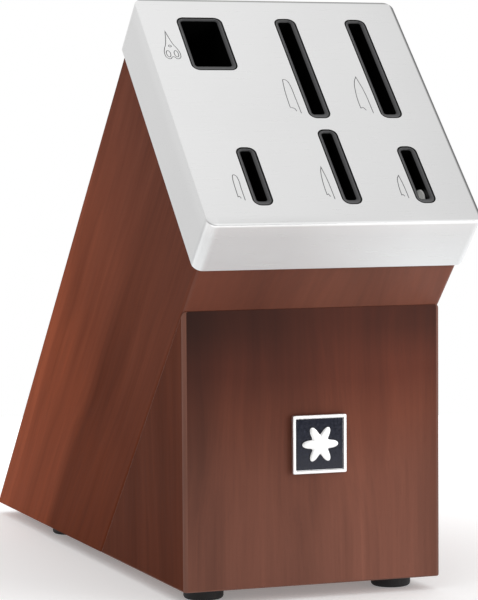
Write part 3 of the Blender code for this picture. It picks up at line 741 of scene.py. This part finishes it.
def shears_icon(length, width):
    """Closed kitchen shears, point up: the outline, the pivot and the openings of both handles."""
    half = [(0.24, 0.53), (0.40, 0.37), (0.49, 0.19), (0.42, 0.05), (0.22, 0.01), (0.05, 0.08)]
    right = [(width * x, length * y) for x, y in half]
    left = [(-x, y) for x, y in reversed(right)]
    strokes = [([(0, length)] + right + left, (0,), True)]
    for side in (-1, 1):
        ring = arc((0, 0), 1.0, 0, 360, 8)[:-1]
        opening = [(width * (side * 0.245 + 0.125 * x), length * (0.19 + 0.115 * y)) for x, y in ring]
        strokes.append((opening, (), True))
    strokes.append((arc((0, length * 0.47), width * 0.085, 0, 360, 8)[:-1], (), True))
    return strokes


def draw_stroke(curve, points, sharp=(), closed=False):
    spline = curve.splines.new("BEZIER")
    spline.bezier_points.add(len(points) - 1)
    for index, (point, (x, y)) in enumerate(zip(spline.bezier_points, points)):
        point.co = (x, y, 0)
        kind = "VECTOR" if index in sharp else "AUTO"
        point.handle_left_type = kind
        point.handle_right_type = kind
    spline.use_cyclic_u = closed


def etch_icon(name, strokes, corner):
    """Fine dark lines on the cover, almost level with it; corner is the icon's origin on the plate."""
    curve = bpy.data.curves.new(name, "CURVE")
    curve.bevel_depth = ICON_LINE / 2
    curve.bevel_resolution = 2
    curve.resolution_u = 8
    for points, sharp, closed in strokes:
        draw_stroke(curve, points, sharp, closed)
    guide = bpy.data.objects.new(name, curve)
    bpy.context.scene.collection.objects.link(guide)
    mesh = evaluated_mesh(guide)
    bpy.data.objects.remove(guide, do_unlink=True)
    flatten = Matrix.Diagonal((MM, MM, MM * ICON_RELIEF, 1))
    mesh.transform(Matrix.Translation((*corner, COVER_TOP)) @ flatten)
    add_piece(name, mesh, ETCHING, matrix=TILTED)


BLADE_ICONS = {
    "santoku": santoku_icon(19.3, 3.84),
    "chef": pointed_icon(21.0, 4.66, -1.5),
    "serrated": nosed_icon(13.6, 2.4, 0.58),
    "utility": pointed_icon(17.4, 2.6, -0.9),
    "paring": pointed_icon(12.4, 2.5, -0.6),
}


def make_icons():
    for name, (outline, sharp) in BLADE_ICONS.items():
        low, _ = tilted_box("liner_" + name, top_only=True)
        corner = (low.x - ICON_GAP, low.y + ICON_RAISE)
        etch_icon("icon_" + name, [(outline, sharp, False)], corner)
    low, high = tilted_box("liner_shears", top_only=True)
    corner = (low.x - ICON_GAP - MM * SHEARS_ICON[1] / 2, high.y - SHEARS_ICON_DROP)
    etch_icon("icon_shears", shears_icon(*SHEARS_ICON), corner)


# Slot sleeves

def sleeve_sections(collar_x, collar_v, depth):
    """A sleeve's sections, up its outside from the collar and back up its inside to the rim."""
    tube_x = max(collar_x, TUBE_HALF_WIDTH)
    bore_x, bore_v = tube_x - LINER_WALL, collar_v - LINER_WALL
    throat_x = collar_x - SIDE_RIM
    throat_v = collar_v - (LOWER_RIM + UPPER_RIM) / 2
    shift = (LOWER_RIM - UPPER_RIM) / 2
    flange_x, flange_v = tube_x + FLANGE_SIDE / 2, collar_v + FLANGE_END
    under_sheet = -SHEET - CLEARANCE + LINER_RECESS
    under_flange = under_sheet - FLANGE
    inner = TUBE_RADIUS - LINER_WALL
    flare = -THROAT_DEPTH - max(bore_x - throat_x, LOWER_RIM - LINER_WALL)
    rows = [(collar_x - inset, collar_v - inset, MOUTH_RADIUS - inset, -rise, 0)
            for inset, rise in easing_steps(RIM_EASING)]
    rows += [
        (collar_x, collar_v, MOUTH_RADIUS, under_sheet, 0),
        (flange_x, flange_v, MOUTH_RADIUS, under_sheet, 0),
        (flange_x, flange_v, MOUTH_RADIUS, under_flange, 0),
        (tube_x, collar_v, TUBE_RADIUS, under_flange, 0),
        (tube_x, collar_v, TUBE_RADIUS, -depth, 0),
        (bore_x, bore_v, inner, -depth, 0),
        (bore_x, bore_v, inner, flare, 0),
        (throat_x, throat_v, inner, -THROAT_DEPTH, shift),
        (throat_x, throat_v, inner, -RIM_DEPTH - THROAT_EASING, shift),
        (throat_x + THROAT_EASING, throat_v + THROAT_EASING, inner, -RIM_DEPTH, shift),
        (collar_x - RIM, collar_v - RIM, MOUTH_RADIUS - RIM, 0, 0),
    ]
    return rows


def inside_outline(point, half_x, half_v, radius):
    """How far a point lies inside a rounded rectangle."""
    over_x = max(abs(point.x) - (half_x - radius), 0)
    over_v = max(abs(point.y) - (half_v - radius), 0)
    return radius - sqrt(over_x**2 + over_v**2)


def make_sleeves():
    wheel_depths = {}
    for joint in frame["joints"]:
        centre = TILTED.inverted() @ Vector(joint["pos_m"])
        wheel_depths[joint["name"].removeprefix("honing_spin_")] = centre.z
    for name in SLOT_NAMES:
        low, high = tilted_box("liner_" + name, top_only=True)
        depth = high.z - tilted_box("liner_" + name)[0].z
        middle = ((low.x + high.x) / 2, (low.y + high.y) / 2)
        sections = sleeve_sections((high.x - low.x) / 2, (high.y - low.y) / 2, depth)
        loops = []
        for half_x, half_v, radius, height, shift in sections:
            loops.append([(x, v + shift, height) for x, v in rounded_rectangle(half_x, half_v, radius)])
        mesh = loft("sleeve_" + name, loops, closed=True)
        outline = ((high.x - low.x) / 2, (high.y - low.y) / 2, MOUTH_RADIUS)
        mesh.materials.append(SLEEVE_SHADED_PLASTIC)
        mesh.materials.append(SLEEVE_LIT_RIM_PLASTIC)
        # Rim faces take the paler plastic, a painted highlight; the rest take the near-black plastic, painted
        # shade
        for face in mesh.polygons:
            on_rim = inside_outline(face.center, *outline) > RIM_EASING
            face.material_index = int(on_rim and face.center.z > -RIM_DEPTH)
        mesh.transform(Matrix.Translation((*middle, high.z)))
        if name in wheel_depths:
            height = CRADLE_ABOVE + CRADLE_BELOW + 2 * CLEARANCE
            size = (2 * (TAB_HALF_WIDTH + CLEARANCE), 2 * (LINER_WALL + CLEARANCE), height)
            window_z = wheel_depths[name] + (CRADLE_ABOVE - CRADLE_BELOW) / 2
            mesh = carve(mesh, box_mesh("window", size, (middle[0], low.y, window_z)))
        add_piece("sleeve_" + name, mesh, None, ["liner_" + name], matrix=TILTED)


# Honing wheels and their axles

def wheel_profile():
    edge = WHEEL_EASING
    face = WHEEL_OFFSET + WHEEL_CONE
    return [
        (WHEEL_BORE, WHEEL_BACK),
        (WHEEL_RADIUS - edge, WHEEL_BACK),
        (WHEEL_RADIUS - edge * 0.3, WHEEL_BACK - edge * 0.3),
        (WHEEL_RADIUS, WHEEL_BACK - edge),
        (WHEEL_RADIUS, face + edge),
        (WHEEL_RADIUS - edge * 0.3, face + edge * 0.2),
        (WHEEL_RADIUS - edge, face - edge * 0.4),
        (WHEEL_HUB, WHEEL_OFFSET),
        (WHEEL_BORE, WHEEL_OFFSET),
    ]


def make_honing_wheels():
    for joint in frame["joints"]:
        name = joint["name"].removeprefix("honing_spin_")
        centre = Matrix.Translation(joint["pos_m"])
        for side, sign in (("left", -1), ("right", 1)):
            mesh = turned("wheel", wheel_profile())
            place = centre @ Matrix.Rotation(sign * pi / 2, 4, "Y")
            label = side + "_" + name
            node = "honing_wheel_" + label
            add_piece("wheel_" + label, mesh, CERAMIC, [node], joint["child"], place)
        half, edge = AXLE_HALF_LENGTH, WHEEL_EASING
        ends = [(0, half), (AXLE_RADIUS - edge, half), (AXLE_RADIUS, half - edge)]
        profile = ends + [(radius, -height) for radius, height in reversed(ends)]
        mesh = turned("axle", profile, 32, closed=False)
        place = centre @ Matrix.Rotation(pi / 2, 4, "Y")
        node = "honing_axle_" + name
        add_piece("axle_" + name, mesh, SCREW_STEEL, [node], joint["child"], place)


# Feet and their screws

def foot_profile():
    top = BASE_Z - CLEARANCE
    lower_edge = arc((FOOT_RADIUS - FOOT_EDGE, FOOT_EDGE), FOOT_EDGE, 0, -90)
    profile = [(HOLE_RADIUS, top), (FOOT_RADIUS - CLEARANCE, top), (FOOT_RADIUS, top - CLEARANCE)]
    return profile + lower_edge + [
        (COUNTERBORE_RADIUS + CLEARANCE, 0),
        (COUNTERBORE_RADIUS, CLEARANCE),
        (COUNTERBORE_RADIUS, COUNTERBORE_DEPTH),
        (HOLE_RADIUS, COUNTERBORE_DEPTH),
    ]


def screw_profile():
    """A pan-head wood screw, point up, with ridges for its thread."""
    profile = [(0, SCREW_LENGTH)]
    height = SCREW_LENGTH - THREAD_PITCH
    while height > HEAD_UNDERSIDE + THREAD_PITCH:
        taper = min(1.0, 0.35 + (SCREW_LENGTH - height) / (4 * THREAD_PITCH))
        profile.append((SCREW_RADIUS * taper, height))
        profile.append(((SCREW_RADIUS - THREAD_DEPTH) * taper, height - THREAD_PITCH / 2))
        height -= THREAD_PITCH
    dome = arc((0, HEAD_UNDERSIDE), HEAD_RADIUS, 0, -90)
    squash = (HEAD_UNDERSIDE - HEAD_TOP) / HEAD_RADIUS
    profile.append((SCREW_RADIUS, HEAD_UNDERSIDE))
    return profile + [(radius, HEAD_UNDERSIDE + (z - HEAD_UNDERSIDE) * squash) for radius, z in dome]


def make_feet():
    for row in ("front", "back"):
        for side in ("left", "right"):
            name = row + "_" + side
            low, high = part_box("foot_" + name)
            centre = Matrix.Translation(((low.x + high.x) / 2, (low.y + high.y) / 2, 0))
            foot = turned("rubber_foot_" + name, foot_profile())
            add_piece(foot.name, foot, RUBBER, ["foot_" + name], matrix=centre)
            profile = screw_profile()
            profile[-1] = (0, profile[-1][1])
            screw = turned("pan_screw_" + name, profile, 40, closed=False)
            bars = [box_mesh("bar", size, (0, 0, HEAD_TOP)) for size in SCREW_RECESS]
            screw = carve(screw, *bars)
            node = "foot_screw_" + name
            add_piece("pan_screw_" + name, screw, SCREW_STEEL, [node], matrix=centre)


# Badge

def upright_place(node):
    """Half width, half height and thickness of a badge layer, and the matrix that stands it up."""
    low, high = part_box(node)
    place = Matrix.Translation(((low.x + high.x) / 2, high.y, (low.z + high.z) / 2))
    return (high.x - low.x) / 2, (high.z - low.z) / 2, high.y - low.y, place @ Matrix.Rotation(pi / 2, 4, "X")


def make_badge():
    half_x, half_z, thickness, upright = upright_place("badge_frame")
    corner = BADGE_CORNER
    rows = [(half_x, half_z, corner, 0)]
    for inset, rise in easing_steps(BADGE_EASING):
        rows.insert(1, (half_x - inset, half_z - inset, corner - inset, thickness - rise))
    inner_x, inner_z = half_x - BADGE_BORDER, half_z - BADGE_BORDER
    for inset, rise in easing_steps(BADGE_EASING / 2):
        rows.append((inner_x + inset, inner_z + inset, corner / 2 + inset, thickness - rise))
    rows.append((inner_x, inner_z, corner / 2, BADGE_FLOOR))
    border = stacked_rectangles("badge_border", rows)
    add_piece("badge_border", border, BADGE_STEEL, ["badge_frame"], matrix=upright)

    half_x, half_z, thickness, upright = upright_place("badge_inlay")
    rows = [(half_x, half_z, corner / 2, 0), (half_x, half_z, corner / 2, thickness * 0.5)]
    rows.append((half_x - BADGE_EASING, half_z - BADGE_EASING, corner / 2, thickness))
    field = stacked_rectangles("badge_field", rows)
    add_piece("badge_field", field, ENAMEL, ["badge_inlay"], matrix=upright)

    half_x, _, thickness, upright = upright_place("badge_rosette")
    loops = []
    for shrink, height in ((1.0, 0.0), (1.0, 0.35), (0.93, 0.7), (0.8, 0.92), (0.5, 1.0), (0.0, 0.75)):
        wave = ROSETTE_WAVE * min(1.0, shrink * 1.2)
        loop = []
        for step in range(120):
            angle = 2 * pi * step / 120
            radius = half_x / (1 + ROSETTE_WAVE) * shrink * (1 + wave * cos(ROSETTE_PETALS * angle))
            loop.append((radius * cos(angle), radius * sin(angle), height * thickness))
        loops.append(loop)
    flower = loft("badge_flower", loops, capped=False)
    add_piece("badge_flower", flower, BADGE_STEEL, ["badge_rosette"], matrix=upright)


# Pieces that keep the model's own shape

def finish_model_pieces():
    finishes = {
        "bottom_panel": INNER_WOOD,
        "deck_board": INNER_WOOD,
        "spacer_board": INNER_WOOD,
        "wedge_dowel": BEECH,
        "deck_screw": SCREW_STEEL,
        "honing_cradle": PLASTIC,
        "badge_adhesive_pad": PLASTIC,
    }
    for name, piece in frame["nodes"].items():
        for start, material in finishes.items():
            if name.startswith(start):
                piece.data.materials.clear()
                piece.data.materials.append(material)


# Studio

def make_floor():
    """A pale round floor that grows lighter towards its rim, where it meets the white behind."""
    work = bmesh.new()
    bmesh.ops.create_circle(work, cap_ends=True, segments=96, radius=FLOOR_RADIUS)
    mesh = smooth_mesh(work, "studio_floor")
    material, tree, shader = new_material("studio_white", 0.9)
    shader.inputs["Base Color"].default_value = (0.93, 0.93, 0.93, 1.0)
    shader.inputs["Specular IOR Level"].default_value = 0.0
    shader.inputs["Emission Color"].default_value = (1.0, 1.0, 1.0, 1.0)
    place = place_coordinates(tree, False)
    radius = add_node(tree, "VectorMath", {0: place}, operation="LENGTH").outputs["Value"]
    glow = remap(tree, radius, 0.10, FLOOR_RADIUS * 0.8, FLOOR_GLOW, FLOOR_RIM_GLOW)
    tree.links.new(glow, shader.inputs["Emission Strength"])
    mesh.materials.append(material)
    floor = bpy.data.objects.new("studio_floor", mesh)
    bpy.context.scene.collection.objects.link(floor)


def make_world():
    """Soft studio light: bright above and behind, darker in front; the backdrop itself is white."""
    world = bpy.data.worlds.new("studio")
    bpy.context.scene.world = world
    world.use_nodes = True
    tree = world.node_tree
    way = add_node(tree, "SeparateXYZ", {0: add_node(tree, "TexCoord").outputs["Generated"]})
    side = remap(tree, way.outputs["X"], -1, 1, -WORLD_TURN, WORLD_TURN)
    depth = remap(tree, way.outputs["Y"], -1, 1, WORLD_FRONT, WORLD_BACK)
    level = add_node(tree, "Math", {0: side, 1: depth}, operation="ADD").outputs["Value"]
    height = remap(tree, way.outputs["Z"], 0.0, 0.75, 0.0, 1.0)
    light = mix_colors(tree, height, level, (WORLD_ZENITH,) * 3 + (1.0,))
    seen = add_node(tree, "LightPath").outputs["Is Camera Ray"]
    light = mix_colors(tree, seen, light, (1.0, 1.0, 1.0, 1.0))
    tree.links.new(light, tree.nodes["Background"].inputs["Color"])
    tree.nodes["Background"].inputs["Strength"].default_value = 1.0


def add_light(name, power, size, place, aim):
    light = bpy.data.lights.new(name, "AREA")
    light.shape = "RECTANGLE"
    light.size, light.size_y = size
    light.energy = power
    lamp = bpy.data.objects.new(name, light)
    lamp.location = place
    lamp.rotation_euler = (Vector(aim) - Vector(place)).to_track_quat("-Z", "Y").to_euler()
    bpy.context.scene.collection.objects.link(lamp)


def make_camera():
    data = bpy.data.cameras.new("camera")
    data.lens = CAMERA_LENS
    data.clip_start = 0.05
    camera = bpy.data.objects.new("camera", data)
    turn = Matrix.Rotation(radians(-CAMERA_YAW), 4, "Z")
    tip = Matrix.Rotation(radians(90 - CAMERA_PITCH), 4, "X")
    roll = Matrix.Rotation(radians(CAMERA_ROLL), 4, "Z")
    camera.matrix_world = Matrix.Translation(CAMERA_PLACE) @ turn @ tip @ roll
    bpy.context.scene.collection.objects.link(camera)
    bpy.context.scene.camera = camera


make_body()
make_wedge()
make_cover()
make_icons()
make_sleeves()
make_honing_wheels()
make_feet()
make_badge()
finish_model_pieces()
make_floor()
make_world()
add_light("front right", 2.6, (0.5, 0.5), (0.62, -0.80, 0.20), (0, -0.1, 0.05))
make_camera()
bpy.context.scene.view_settings.view_transform = "Standard"
